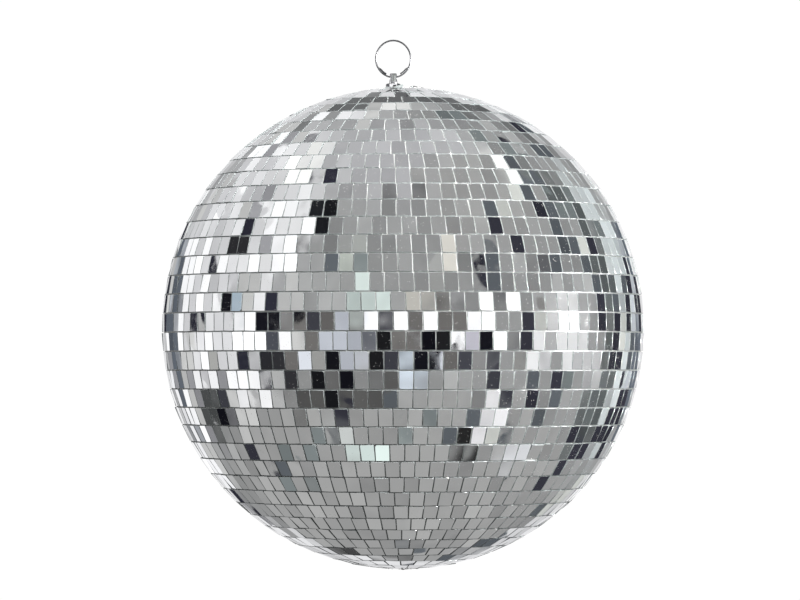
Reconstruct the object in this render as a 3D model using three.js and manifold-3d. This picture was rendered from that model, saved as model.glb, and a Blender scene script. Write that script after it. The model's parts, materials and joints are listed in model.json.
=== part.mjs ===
// Mirror ball that hangs from a split ring.
//
// Millimetres, +Z up. The origin is the place where a hook bears: the underside of the ring's top.
// The ring stands in the XZ plane. It passes through a cross hole near the top of a threaded post,
// and the ball swings fore and aft about the ring's lowest point.
//
// The ball is two moulded plastic hemispheres, joined at the equator over an inner hoop and
// covered with rows of small flat mirrors. The post stands a few millimetres beside the ball's
// own centre line.

import * as THREE from 'three';
import { mergeVertices } from 'three/addons/utils/BufferGeometryUtils.js';
import Module from 'manifold-3d';

const wasm = await Module();
wasm.setup();

// ---- Driving dimensions -------------------------------------------------------------------

// ball
const BALL_RADIUS = 150; // over the mirror faces
const TILE_THICKNESS = 1.5;
const GLUE_LINE = 0.4; // between the shell and the backs of the mirrors
const SHELL_WALL = 2.2;
const ROW_COUNT = 38; // mirror rows, from the top opening down to the bottom one
const ROW_GAP = 0.7; // open joint between two rows
const TOP_OPENING_RADIUS = 15.7; // circle inside row 1, closed with hand-cut mirror pieces
const BOTTOM_OPENING_RADIUS = 9.9; // circle inside the last row, closed with one round mirror
const POST_OFFSET = 6.1; // from the ball's centre line to the post

// shell halves and the hoop that joins them
const LAND_HEIGHT = 8; // straight band inside each rim, where the hoop sits
const HOOP_HEIGHT = 14;
const HOOP_WALL = 1.6;
const HOOP_FIT = 0.05;
const BOSS_STEP = 0.6; // raised seat for the top washer
const BOSS_MARGIN = 0.5; // boss beyond the washer's rim
const PAD_LIP = 0.8; // how far the pad under the pole stands out at its rim
const PAD_MARGIN = 2; // pad beyond the load plate's rim
const PEG_RADIUS = 1.5; // moulded peg that centres the bottom mirror
const PEG_STANDOUT = 0.8; // how far the peg shows below the bottom mirror
const PEG_CLEARANCE = 0.4;

// post, M5
const THREAD_RADIUS = 2.45;
const HEAD_RADIUS = 2.5; // plain part above the nut
const TIP_RADIUS = 2.1; // the plain part narrows to this
const TIP_CHAMFER = 0.3;
const POST_STANDOUT = 9; // above the ball's top
const POST_TAIL = 3; // below the inner nut
const BORE_CLEARANCE = 0.1; // nut threads around the post
const WASHER_CLEARANCE = 0.2;
const SHELL_HOLE_CLEARANCE = 0.3;
const EYE_PLAY = 0.75; // eye's hole around the ring's wire
const EYE_DROP = 2.4; // from the post's tip down to the ring's wire
const EYE_SLACK = 0.45; // wire's centre above the hole's centre

// nuts and washers
const HEX_ACROSS_FLATS = 8;
const THIN_NUT_HEIGHT = 2.7;
const LOCK_NUT_HEIGHT = 4;
const HEX_CHAMFER = 0.45;
const HEX_REACH = 1.05; // chamfering cone's widest radius over the hexagon's corner radius
const WASHER_RADIUS = 5;
const WASHER_THICKNESS = 1.2;
const TILE_TO_WASHER = 1; // bare rim between the washer and the hand-cut mirrors
const PLATE_RADIUS = 20;
const PLATE_THICKNESS = 1.5;
const SPRING_RADIUS = 4.6;
const SPRING_THICKNESS = 1.2;
const SEAT_GAP = 0.02; // between faces that bear on each other

// split ring
const RING_WIDTH = 22.8; // outside
const RING_HEIGHT = 24; // outside
const WIRE_RADIUS = 0.5;
const TURN_GAP = 0.12; // between the two turns, side by side
const END_ANGLE = 26; // degrees from the lowest point to each end of the wire
const TUCK_ANGLE = 50; // up to here an end lies inside the other turn
const SPREAD_ANGLE = 64; // from here on the turns lie side by side
const TUCK_DEPTH = 1.05;

// faceting
const ROUND_SEGMENTS = 24;
const SHELL_STEPS = 10; // facets from the rim to the pole
const CAP_STEPS = 3; // facets across the small mirror caps
const RING_STEPS = 56;
const WIRE_SEGMENTS = 4;
const MERGE_DISTANCE = 1e-4; // vertices closer than this are one

// ---- Sizes worked out from them ---------------------------------------------------------------

const tileInner = BALL_RADIUS - TILE_THICKNESS;
const shellOuter = tileInner - GLUE_LINE;
const shellInner = shellOuter - SHELL_WALL;

const topLatitude = Math.acos(TOP_OPENING_RADIUS / BALL_RADIUS);
const bottomLatitude = -Math.acos(BOTTOM_OPENING_RADIUS / BALL_RADIUS);
const rowPitch = (topLatitude - bottomLatitude) / ROW_COUNT;
const halfGap = ROW_GAP / 2 / BALL_RADIUS;

// heights above the ball's centre
const bossTop = shellOuter + BOSS_STEP;
const washerBottom = bossTop + SEAT_GAP;
const topNutBottom = washerBottom + WASHER_THICKNESS + SEAT_GAP;
const topNutTop = topNutBottom + THIN_NUT_HEIGHT;
const padRadius = PLATE_RADIUS + PAD_MARGIN;
const padBottom = Math.sqrt(shellInner ** 2 - (padRadius + POST_OFFSET) ** 2) - PAD_LIP;
const plateBottom = padBottom - SEAT_GAP - PLATE_THICKNESS;
const springBottom = plateBottom - SEAT_GAP - SPRING_THICKNESS;
const lockNutBottom = springBottom - SEAT_GAP - LOCK_NUT_HEIGHT;
const postTip = BALL_RADIUS + POST_STANDOUT;
const postTail = lockNutBottom - POST_TAIL;
const wireHeight = postTip - EYE_DROP;

const ringHalfWidth = RING_WIDTH / 2 - WIRE_RADIUS; // to the wire's centre
const ringHalfHeight = RING_HEIGHT / 2 - WIRE_RADIUS;
const ringCentreZ = WIRE_RADIUS - ringHalfHeight;
const hingeZ = ringCentreZ - ringHalfHeight;
const ballCentreZ = hingeZ - wireHeight;

// ---- Materials ---------------------------------------------------------------------------------

function finish(color, roughness, metalness) {
  return new THREE.MeshStandardMaterial({ color, roughness, metalness });
}

const FINISHES = {
  mirror: () => finish(0xc9cdcf, 0.05, 1),
  whitePlastic: () => finish(0xdcdcd8, 0.55, 0),
  plated: () => finish(0xb9bbbd, 0.25, 1),
  steel: () => finish(0x8f9194, 0.35, 1),
};

// ---- Shape helpers -----------------------------------------------------------------------------

// point of a circle about the origin, as a lathe profile point
function onArc(radius, latitude) {
  return new THREE.Vector2(radius * Math.cos(latitude), radius * Math.sin(latitude));
}

function arc(radius, from, to, steps) {
  const points = [];
  for (let i = 0; i <= steps; i += 1) {
    points.push(onArc(radius, from + ((to - from) * i) / steps));
  }
  return points;
}

// A body of revolution about +Z. The profile runs up the outside and down the inside.
function turned(profile) {
  const geometry = new THREE.LatheGeometry(profile, ROUND_SEGMENTS);
  geometry.rotateX(Math.PI / 2);
  return geometry;
}

function rectangleProfile(inner, outer, bottom, top) {
  return [
    new THREE.Vector2(outer, bottom),
    new THREE.Vector2(outer, top),
    new THREE.Vector2(inner, top),
    new THREE.Vector2(inner, bottom),
    new THREE.Vector2(outer, bottom),
  ];
}

function disc(radius, bottom, top) {
  return turned([
    new THREE.Vector2(0, bottom),
    new THREE.Vector2(radius, bottom),
    new THREE.Vector2(radius, top),
    new THREE.Vector2(0, top),
  ]);
}

function washer(inner, outer, bottom, thickness) {
  return turned(rectangleProfile(inner, outer, bottom, bottom + thickness));
}

// three.js geometry to a manifold solid, with its shared vertices merged
function toSolid(source) {
  const bare = source.clone();
  bare.deleteAttribute('normal');
  bare.deleteAttribute('uv');
  const merged = mergeVertices(bare, MERGE_DISTANCE);
  const corners = merged.index.array;
  const kept = [];
  for (let i = 0; i < corners.length; i += 3) {
    const [a, b, c] = [corners[i], corners[i + 1], corners[i + 2]];
    if (a !== b && b !== c && c !== a) {
      kept.push(a, b, c);
    }
  }
  const mesh = new wasm.Mesh({
    numProp: 3,
    vertProperties: new Float32Array(merged.attributes.position.array),
    triVerts: new Uint32Array(kept),
  });
  return new wasm.Manifold(mesh);
}

function toGeometry(solid) {
  const mesh = solid.getMesh();
  const geometry = new THREE.BufferGeometry();
  geometry.setAttribute('position', new THREE.BufferAttribute(mesh.vertProperties, 3));
  geometry.setIndex(new THREE.BufferAttribute(mesh.triVerts, 1));
  geometry.computeVertexNormals();
  return geometry;
}

function named(name, geometry, material) {
  const mesh = new THREE.Mesh(geometry, material);
  mesh.name = name;
  return mesh;
}

// ---- Shell -------------------------------------------------------------------------------------

const landRadius = Math.sqrt(shellInner ** 2 - LAND_HEIGHT ** 2);
const landLatitude = Math.asin(LAND_HEIGHT / shellInner);

function upperShell() {
  const profile = [
    ...arc(shellInner, Math.PI / 2, landLatitude, SHELL_STEPS),
    new THREE.Vector2(landRadius, 0),
    ...arc(shellOuter, 0, Math.PI / 2, SHELL_STEPS),
  ];
  const besidePole = (geometry) => toSolid(geometry.translate(-POST_OFFSET, 0, 0));
  const midWall = (shellOuter + shellInner) / 2;
  const core = toSolid(turned(arc(midWall, -Math.PI / 2, Math.PI / 2, 2 * SHELL_STEPS)));
  const boss = besidePole(disc(WASHER_RADIUS + BOSS_MARGIN, midWall, bossTop));
  const pad = besidePole(disc(padRadius, padBottom, shellOuter)).intersect(core);
  const hole = besidePole(disc(THREAD_RADIUS + SHELL_HOLE_CLEARANCE, postTail, postTip));
  return toGeometry(toSolid(turned(profile)).add(boss).add(pad).subtract(hole));
}

function lowerShell() {
  const profile = [
    ...arc(shellOuter, -Math.PI / 2, 0, SHELL_STEPS),
    new THREE.Vector2(landRadius, 0),
    ...arc(shellInner, -landLatitude, -Math.PI / 2, SHELL_STEPS),
  ];
  const lowest = -BALL_RADIUS - PEG_STANDOUT;
  const peg = toSolid(disc(PEG_RADIUS, lowest, -shellInner - SHELL_WALL / 2));
  return toGeometry(toSolid(turned(profile)).add(peg));
}

function joiningHoop() {
  const outer = landRadius - HOOP_FIT;
  const inner = outer - HOOP_WALL;
  return turned(rectangleProfile(inner, outer, -HOOP_HEIGHT / 2, HOOP_HEIGHT / 2));
}

// ---- Mirrors -----------------------------------------------------------------------------------

// one row of mirrors, between the joints above and below it
function tileRow(number) {
  const top = topLatitude - (number - 1) * rowPitch - halfGap;
  const bottom = topLatitude - number * rowPitch + halfGap;
  return turned([
    onArc(BALL_RADIUS, bottom),
    onArc(BALL_RADIUS, top),
    onArc(tileInner, top),
    onArc(tileInner, bottom),
    onArc(BALL_RADIUS, bottom),
  ]);
}

// curved disc of mirror about the upper pole
function mirrorCap(radius) {
  const edge = Math.acos(radius / BALL_RADIUS);
  return turned([
    ...arc(tileInner, Math.PI / 2, edge, CAP_STEPS),
    ...arc(BALL_RADIUS, edge, Math.PI / 2, CAP_STEPS),
  ]);
}

// hand-cut pieces around the post, as one ring with the post's clearance cut out
function closingMirrors() {
  const clear = disc(WASHER_RADIUS + TILE_TO_WASHER, shellInner, postTip);
  clear.translate(-POST_OFFSET, 0, 0);
  const cap = toSolid(mirrorCap(TOP_OPENING_RADIUS - ROW_GAP));
  return toGeometry(cap.subtract(toSolid(clear)));
}

function bottomMirror() {
  const cap = mirrorCap(BOTTOM_OPENING_RADIUS - ROW_GAP);
  cap.rotateX(Math.PI);
  const pegHole = disc(PEG_RADIUS + PEG_CLEARANCE, -postTip, -shellInner);
  return toGeometry(toSolid(cap).subtract(toSolid(pegHole)));
}

// ---- Post, nuts and washers -------------------------------------------------------------------

function eyePost() {
  const stud = turned([
    new THREE.Vector2(0, postTail),
    new THREE.Vector2(THREAD_RADIUS - TIP_CHAMFER, postTail),
    new THREE.Vector2(THREAD_RADIUS, postTail + TIP_CHAMFER),
    new THREE.Vector2(THREAD_RADIUS, topNutTop + SEAT_GAP),
    new THREE.Vector2(HEAD_RADIUS, topNutTop + TIP_CHAMFER),
    new THREE.Vector2(TIP_RADIUS, postTip - TIP_CHAMFER),
    new THREE.Vector2(TIP_RADIUS - TIP_CHAMFER, postTip),
    new THREE.Vector2(0, postTip),
  ]);
  const eye = disc(WIRE_RADIUS + EYE_PLAY, -HEAD_RADIUS * 2, HEAD_RADIUS * 2);
  eye.rotateY(Math.PI / 2);
  eye.translate(0, 0, wireHeight - EYE_SLACK);
  return toGeometry(toSolid(stud).subtract(toSolid(eye)));
}

// hexagon with two flats facing fore and aft, chamfered on both ends
function hexNut(bottom, height) {
  const cornerRadius = HEX_ACROSS_FLATS / Math.sqrt(3);
  const outline = new THREE.Shape();
  for (let i = 0; i < 6; i += 1) {
    const angle = (i * Math.PI) / 3;
    const corner = [cornerRadius * Math.cos(angle), cornerRadius * Math.sin(angle)];
    outline[i === 0 ? 'moveTo' : 'lineTo'](...corner);
  }
  outline.closePath();
  const bore = new THREE.Path();
  bore.absarc(0, 0, THREAD_RADIUS + BORE_CLEARANCE, 0, Math.PI * 2, true);
  outline.holes.push(bore);
  const prism = new THREE.ExtrudeGeometry(outline, {
    depth: height,
    bevelEnabled: false,
    curveSegments: ROUND_SEGMENTS / 2,
  });
  prism.translate(0, 0, bottom);
  const wide = cornerRadius * HEX_REACH;
  const narrow = HEX_ACROSS_FLATS / 2;
  const envelope = turned([
    new THREE.Vector2(0, bottom - SEAT_GAP),
    new THREE.Vector2(narrow, bottom - SEAT_GAP),
    new THREE.Vector2(wide, bottom + HEX_CHAMFER),
    new THREE.Vector2(wide, bottom + height - HEX_CHAMFER),
    new THREE.Vector2(narrow, bottom + height + SEAT_GAP),
    new THREE.Vector2(0, bottom + height + SEAT_GAP),
  ]);
  return toGeometry(toSolid(prism).intersect(toSolid(envelope)));
}

// ---- Split ring ----------------------------------------------------------------------------------

// The wire starts beside the post, runs once round, through the post's eye, once more round and
// ends beside the post again. Both ends are tucked inside the turn that passes through the eye.
class SplitRingCurve extends THREE.Curve {
  getPoint(t, target = new THREE.Vector3()) {
    const turn = THREE.MathUtils.lerp(END_ANGLE, 720 - END_ANGLE, t);
    const fromEye = turn - 360;
    const fromEnd = Math.min(turn, 720 - turn);
    const tucked = 1 - THREE.MathUtils.smoothstep(fromEnd, TUCK_ANGLE, SPREAD_ANGLE);
    const sway = THREE.MathUtils.clamp(fromEye / SPREAD_ANGLE, -1, 1);
    const side = (WIRE_RADIUS + TURN_GAP / 2) * Math.sin((sway * Math.PI) / 2);
    const angle = THREE.MathUtils.degToRad(turn);
    const halfWidth = ringHalfWidth - TUCK_DEPTH * tucked;
    const halfHeight = ringHalfHeight - TUCK_DEPTH * tucked;
    const z = ringCentreZ - halfHeight * Math.cos(angle);
    return target.set(halfWidth * Math.sin(angle), side, z);
  }
}

function splitRing() {
  const section = new THREE.Shape();
  section.absarc(0, 0, WIRE_RADIUS, 0, Math.PI * 2, false);
  return new THREE.ExtrudeGeometry(section, {
    steps: RING_STEPS,
    curveSegments: WIRE_SEGMENTS,
    bevelEnabled: false,
    extrudePath: new SplitRingCurve(),
  });
}

// ---- Assembly ------------------------------------------------------------------------------------

const ball = new THREE.Group();
ball.position.set(POST_OFFSET, 0, ballCentreZ);
ball.add(named('upper_shell', upperShell(), FINISHES.whitePlastic()));
ball.add(named('lower_shell', lowerShell(), FINISHES.whitePlastic()));
ball.add(named('joining_hoop', joiningHoop(), FINISHES.whitePlastic()));
ball.add(named('closing_mirrors_top', closingMirrors(), FINISHES.mirror()));
ball.add(named('centre_mirror_bottom', bottomMirror(), FINISHES.mirror()));
for (let number = 1; number <= ROW_COUNT; number += 1) {
  const label = String(number).padStart(2, '0');
  ball.add(named(`mirror_row_${label}`, tileRow(number), FINISHES.mirror()));
}

const threadHole = THREAD_RADIUS + WASHER_CLEARANCE;
const hardware = new THREE.Group();
hardware.position.set(0, 0, ballCentreZ);
hardware.add(named('eye_post', eyePost(), FINISHES.plated()));
hardware.add(named('top_nut', hexNut(topNutBottom, THIN_NUT_HEIGHT), FINISHES.plated()));
hardware.add(named(
  'top_washer',
  washer(threadHole, WASHER_RADIUS, washerBottom, WASHER_THICKNESS),
  FINISHES.plated(),
));
hardware.add(named(
  'load_plate',
  washer(threadHole, PLATE_RADIUS, plateBottom, PLATE_THICKNESS),
  FINISHES.steel(),
));
hardware.add(named(
  'spring_washer',
  washer(threadHole, SPRING_RADIUS, springBottom, SPRING_THICKNESS),
  FINISHES.steel(),
));
hardware.add(named('lock_nut', hexNut(lockNutBottom, LOCK_NUT_HEIGHT), FINISHES.steel()));

const mirrorBall = new THREE.Group();
mirrorBall.add(named('split_ring', splitRing(), FINISHES.steel()));
mirrorBall.add(hardware);
mirrorBall.add(ball);

export default mirrorBall;
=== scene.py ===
"""Mirror ball hanging from a split ring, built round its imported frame.

Laid out as an add-on: properties hold the sizes and colours, one operator makes each piece or group
of like pieces, and a panel in the 3D view's sidebar lists them. Everything is in metres, +Z up.
"""

import json
import math
import random

import bmesh
import bpy
from bpy.props import FloatProperty, FloatVectorProperty, IntProperty, PointerProperty
from mathutils import Euler, Matrix, Vector, noise


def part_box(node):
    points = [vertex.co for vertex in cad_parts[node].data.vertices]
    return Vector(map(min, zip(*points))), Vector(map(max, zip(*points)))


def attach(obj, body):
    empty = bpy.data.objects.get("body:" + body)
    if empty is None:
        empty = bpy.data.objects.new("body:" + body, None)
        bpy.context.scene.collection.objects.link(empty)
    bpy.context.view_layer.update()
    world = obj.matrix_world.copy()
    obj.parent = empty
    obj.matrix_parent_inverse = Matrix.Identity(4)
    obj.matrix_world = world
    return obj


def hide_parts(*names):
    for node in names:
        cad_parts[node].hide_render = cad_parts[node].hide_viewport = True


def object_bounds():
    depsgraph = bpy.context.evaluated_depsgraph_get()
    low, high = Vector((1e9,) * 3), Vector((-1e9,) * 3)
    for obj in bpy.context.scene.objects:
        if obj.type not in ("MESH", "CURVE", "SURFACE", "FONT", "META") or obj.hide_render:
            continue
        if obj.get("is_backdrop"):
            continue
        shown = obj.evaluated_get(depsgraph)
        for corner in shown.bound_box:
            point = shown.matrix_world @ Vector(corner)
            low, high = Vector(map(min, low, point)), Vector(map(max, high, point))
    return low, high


bl_info = {
    "name": "Mirror Ball",
    "version": (1, 0, 0),
    "blender": (4, 5, 0),
    "location": "3D View > Sidebar > Mirror Ball",
    "description": "Builds a mirror ball with its post, nut and split ring",
    "category": "Object",
}

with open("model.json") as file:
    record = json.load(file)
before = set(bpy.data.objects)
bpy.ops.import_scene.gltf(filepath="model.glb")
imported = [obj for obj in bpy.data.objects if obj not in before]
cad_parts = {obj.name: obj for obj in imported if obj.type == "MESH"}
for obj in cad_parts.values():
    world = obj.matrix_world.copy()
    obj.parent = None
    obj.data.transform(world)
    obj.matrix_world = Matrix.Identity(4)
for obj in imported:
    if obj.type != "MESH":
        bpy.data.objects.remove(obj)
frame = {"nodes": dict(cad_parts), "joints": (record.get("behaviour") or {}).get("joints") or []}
CAD_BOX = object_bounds()

MM = 0.001
UP = Vector((0.0, 0.0, 1.0))

BALL_BODY = "ball"
RING_BODY = "hanging_ring"
MIRROR_SLOT = "mirror_tiles"
PLASTIC_SLOT = "shell_plastic"
PLATED_SLOT = "plated_steel"
RING_SLOT = "ring_wire"

TONE = "tile_tone"  # name of the face attribute that varies from tile to tile


# ---- Sizes and colours ---------------------------------------------------------------------------


def length(name, description, default):
    return FloatProperty(
        name=name, description=description, default=default, min=0.0, unit="LENGTH", precision=5
    )


def angle(name, description, degrees):
    return FloatProperty(
        name=name, description=description, default=math.radians(degrees), subtype="ANGLE"
    )


def share(name, description, default):
    return FloatProperty(
        name=name, description=description, default=default, min=0.0, max=1.0, subtype="FACTOR"
    )


def colour(name, description, default):
    return FloatVectorProperty(
        name=name, description=description, default=default, min=0.0, max=1.0, subtype="COLOR"
    )


class MirrorSizes(bpy.types.PropertyGroup):
    """The small mirrors and how evenly they are laid."""

    width: length("Tile width", "Width of one mirror along its row", 8.2 * MM)
    joint: length("Joint", "Open joint between two mirrors of a row", 0.62 * MM)
    glass: length("Glass", "Thickness of the mirror glass", 1.5 * MM)
    edge: length("Edge", "Rounding of the cut edges", 0.09 * MM)
    shift: length("Shift", "How far a mirror may lie off its place", 0.1 * MM)
    tilt: angle("Tilt", "Spread of the mirrors' tilt", 1.1)
    turn: angle("Turn", "Spread of the mirrors' turn in their own plane", 0.55)
    chipped: share("Chipped", "Share of mirrors with a chipped corner", 0.12)
    seed: IntProperty(name="Seed", description="Start of the random draws", default=7)


class FixingSizes(bpy.types.PropertyGroup):
    """Shell, glue, post, nut and ring."""

    glue_depth: length("Glue depth", "From the mirror faces down to the glue", 1.0 * MM)
    bead: length("Bead", "Size of a squeezed-out bead of glue", 0.42 * MM)
    bead_count: IntProperty(name="Beads", description="Beads over the whole ball", default=320)
    rim_land: length("Rim land", "Straight band beyond the joining hoop", 1.0 * MM)
    thread_pitch: length("Thread pitch", "Pitch of the post's thread", 0.8 * MM)
    thread_depth: length("Thread depth", "Depth of the post's thread", 0.42 * MM)
    wire: length("Wire radius", "Radius of the split ring's wire", 0.5 * MM)


class FinishColours(bpy.types.PropertyGroup):
    """Base colours of the finishes."""

    silver: colour("Mirror", "Silvering seen through the glass", (0.865, 0.872, 0.88))
    cut_glass: colour("Cut glass", "Edges of the mirrors", (0.60, 0.64, 0.64))
    backing: colour("Backing", "Paint on the backs of the mirrors", (0.30, 0.30, 0.31))
    dust: colour("Dust", "Dust and dried glue on the mirrors", (0.74, 0.74, 0.71))
    plastic: colour("Plastic", "Moulded shell", (0.78, 0.78, 0.76))
    glue: colour("Glue", "Glue between the mirrors", (0.86, 0.86, 0.84))
    plating: colour("Plating", "Nut, washer and post", (0.66, 0.66, 0.67))
    wire: colour("Wire", "Split ring", (0.27, 0.27, 0.28))
    zinc: colour("Zinc", "Steel parts inside the ball", (0.52, 0.53, 0.55))
    floor: colour("Floor", "Studio floor", (0.88, 0.88, 0.87))


class StageSettings(bpy.types.PropertyGroup):
    """Camera, lights and floor."""

    distance: length("Camera distance", "From the ball's centre to the camera", 2.7)
    drop: length("Camera drop", "Camera below the ball's centre", 24 * MM)
    lens: FloatProperty(name="Lens", description="Focal length", default=194.7, unit="CAMERA")
    aim_up: length("Aim up", "Aim above the ball's centre", 17.5 * MM)
    aim_left: length("Aim left", "Aim left of the ball's centre", 1.9 * MM)
    floor_drop: length("Floor drop", "Floor below the ball", 0.55)
    key: FloatProperty(name="Key", description="Power of the key light", default=290.0, unit="POWER")
    fill: FloatProperty(name="Fill", description="Strength of the soft fill", default=0.16)
    lamp: FloatProperty(name="Lamp", description="Power of the small lamp", default=190.0)


# ---- What the frame gives ------------------------------------------------------------------------


def half_width(node):
    low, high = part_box(node)
    return (high.x - low.x) / 2


def axis_of(node):
    """Where the upright axis through the middle of a CAD node stands."""
    low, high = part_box(node)
    return Vector(((low.x + high.x) / 2, (low.y + high.y) / 2, 0.0))


class Ball:
    """The ball's centre, radius and mirror rows, read from the frame."""

    def __init__(self, glass):
        self.glass = glass
        names = sorted(name for name in frame["nodes"] if name.startswith("mirror_row_"))
        widest = max(names, key=half_width)
        low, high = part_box(widest)
        middle = (low + high) / 2
        self.centre = Vector((middle.x, middle.y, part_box("upper_shell")[0].z))
        self.radius = math.hypot(high.x - middle.x, low.z - self.centre.z)
        self.rows = [self.row(name) for name in names]

    def latitude(self, height, outer):
        radius = self.radius if outer else self.radius - self.glass
        return math.asin(max(-1.0, min(1.0, height / radius)))

    def row(self, name):
        low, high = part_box(name)
        top, bottom = high.z - self.centre.z, low.z - self.centre.z
        return {
            "node": name,
            "top": self.latitude(top, top > 0),
            "bottom": self.latitude(bottom, bottom < 0),
        }

    def out(self, azimuth, latitude):
        """Unit vector away from the centre. Azimuth 0 faces -Y and grows towards +X."""
        flat = math.cos(latitude)
        return Vector((math.sin(azimuth) * flat, -math.cos(azimuth) * flat, math.sin(latitude)))

    def post_pole(self):
        """Where the post's axis leaves the ball, from the centre."""
        offset = -self.centre.x
        return Vector((offset, -self.centre.y, math.sqrt(self.radius**2 - offset**2)))

    def beside_post(self, reach, turn):
        """Flat point at that distance and direction from the post's axis, from the centre."""
        pole = self.post_pole()
        return Vector((pole.x + reach * math.cos(turn), pole.y + reach * math.sin(turn)))

    def lifted(self, flat):
        """The flat point raised to the top of the ball, from the centre."""
        return Vector((flat.x, flat.y, math.sqrt(self.radius**2 - flat.length_squared)))


# ---- Mesh helpers --------------------------------------------------------------------------------

MERGE = 0.01 * MM  # points nearer than this after a cut are one point
CHIP = (0.35, 1.3)  # mm broken off each side of a chipped corner
LUMP_STRETCH = (0.9, 1.7)
LUMP_HEIGHT = 0.75
LUMP_UNEVEN = 0.35


class Skin:
    """Collects vertices and faces, with a material index, shading and tone for each face."""

    def __init__(self):
        self.points = []
        self.faces = []
        self.materials = []
        self.smooth = []
        self.tones = []

    def add_points(self, points):
        first = len(self.points)
        self.points.extend(points)
        return list(range(first, len(self.points)))

    def add_face(self, corners, material=0, smooth=False, tone=0.5):
        self.faces.append(tuple(corners))
        self.materials.append(material)
        self.smooth.append(smooth)
        self.tones.append(tone)

    def add_band(self, lower, upper, **options):
        """Faces between two closed rings of the same number of points."""
        count = len(lower)
        for i in range(count):
            j = (i + 1) % count
            self.add_face((lower[i], lower[j], upper[j], upper[i]), **options)

    def add_rings(self, rings, closed=False, **options):
        """Bands between rings in order. A ring of one point closes the skin with a fan."""
        indexed = [self.add_points(ring) for ring in rings]
        pairs = list(zip(indexed, indexed[1:]))
        if closed:
            pairs.append((indexed[-1], indexed[0]))
        for lower, upper in pairs:
            if len(lower) == 1:
                self.add_fan(lower[0], upper[::-1], **options)
            elif len(upper) == 1:
                self.add_fan(upper[0], lower, **options)
            else:
                self.add_band(lower, upper, **options)

    def add_fan(self, tip, ring, **options):
        count = len(ring)
        for i in range(count):
            self.add_face((ring[i], ring[(i + 1) % count], tip), **options)

    def build(self, name, materials):
        mesh = bpy.data.meshes.new(name)
        mesh.from_pydata([tuple(point) for point in self.points], [], self.faces)
        for material in materials:
            mesh.materials.append(material)
        mesh.polygons.foreach_set("material_index", self.materials)
        mesh.polygons.foreach_set("use_smooth", self.smooth)
        tone = mesh.attributes.new(TONE, "FLOAT", "FACE")
        tone.data.foreach_set("value", self.tones)
        mesh.update()
        piece = bpy.data.objects.new(name, mesh)
        bpy.context.scene.collection.objects.link(piece)
        return piece


def skinned(name, rings, finish, closed=False, smooth=False):
    """A piece with its skin stretched over rings of points."""
    skin = Skin()
    skin.add_rings(rings, closed=closed, smooth=smooth)
    return skin.build(name, [finish])


def soften(piece, degrees=30.0):
    """Smooth shading that keeps edges sharper than the angle."""
    piece.data.polygons.foreach_set("use_smooth", [True] * len(piece.data.polygons))
    piece.data.set_sharp_from_angle(angle=math.radians(degrees))


def fix(piece, body, slot, *nodes):
    """Puts a finished piece on its body, in place of its CAD nodes. The slot is not used."""
    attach(piece, body)
    if nodes:
        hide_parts(*nodes)


def spot(centre, radius, turn, height):
    """Point at a distance and direction from an upright axis."""
    return Vector((centre.x + radius * math.cos(turn), centre.y + radius * math.sin(turn), height))


def circle(radius, height, count, centre):
    return [spot(centre, radius, math.tau * i / count, height) for i in range(count)]


def turned(profile, count, centre):
    """Rings of a turned shape, from radii and heights. A radius of 0 is a single point."""
    rings = []
    for radius, height in profile:
        if radius:
            rings.append(circle(radius, height, count, centre))
        else:
            rings.append([Vector((centre.x, centre.y, height))])
    return rings


def cut(piece, cutter):
    """Subtracts the cutter from the piece and removes the cutter."""
    boolean = piece.modifiers.new("cut", "BOOLEAN")
    boolean.operation = "DIFFERENCE"
    boolean.solver = "EXACT"
    boolean.object = cutter
    bpy.context.view_layer.update()
    result = bpy.data.meshes.new_from_object(
        piece.evaluated_get(bpy.context.evaluated_depsgraph_get())
    )
    piece.modifiers.remove(boolean)
    work = bmesh.new()
    work.from_mesh(result)
    bmesh.ops.remove_doubles(work, verts=work.verts, dist=MERGE)
    bmesh.ops.dissolve_degenerate(work, edges=work.edges, dist=MERGE / 10)
    work.to_mesh(result)
    work.free()
    old, piece.data = piece.data, result
    result.name = piece.name
    bpy.data.meshes.remove(old)
    bpy.data.objects.remove(cutter)


def inset(outline, distance):
    """A convex outline with every side moved in by the distance."""
    moved = []
    count = len(outline)
    for i in range(count):
        before, here, after = outline[i - 1], outline[i], outline[(i + 1) % count]
        first = (here - before).normalized()
        second = (after - here).normalized()
        left = Vector((-first.y, first.x))
        right = Vector((-second.y, second.x))
        moved.append(here + (left + right) * (distance / (1.0 + left.dot(right))))
    return moved


def add_plate(skin, outline, place, basis, glass, edge, tone):
    """One flat piece of mirror with rounded cut edges. Materials: 0 mirror, 1 edge, 2 backing."""
    part = 1.0 - math.sqrt(0.5)
    rings = []
    for inward, depth in ((0.0, glass), (0.0, edge), (part * edge, part * edge), (edge, 0.0)):
        ring = inset(outline, inward) if inward else outline
        rings.append(skin.add_points([place + basis @ Vector((p.x, p.y, -depth)) for p in ring]))
    skin.add_face(rings[0][::-1], material=2, tone=tone)
    for lower, upper, smooth in zip(rings, rings[1:], (False, True, True)):
        skin.add_band(lower, upper, material=1, smooth=smooth, tone=tone)
    skin.add_face(rings[3], material=0, tone=tone)


def chipped(outline, draws):
    """The outline with one corner broken off."""
    corner = draws.randrange(4)
    here = outline[corner]
    broken = []
    for other in (outline[corner - 1], outline[(corner + 1) % len(outline)]):
        broken.append(here + (other - here).normalized() * draws.uniform(*CHIP) * MM)
    return outline[:corner] + broken + outline[corner + 1 :]


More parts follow.
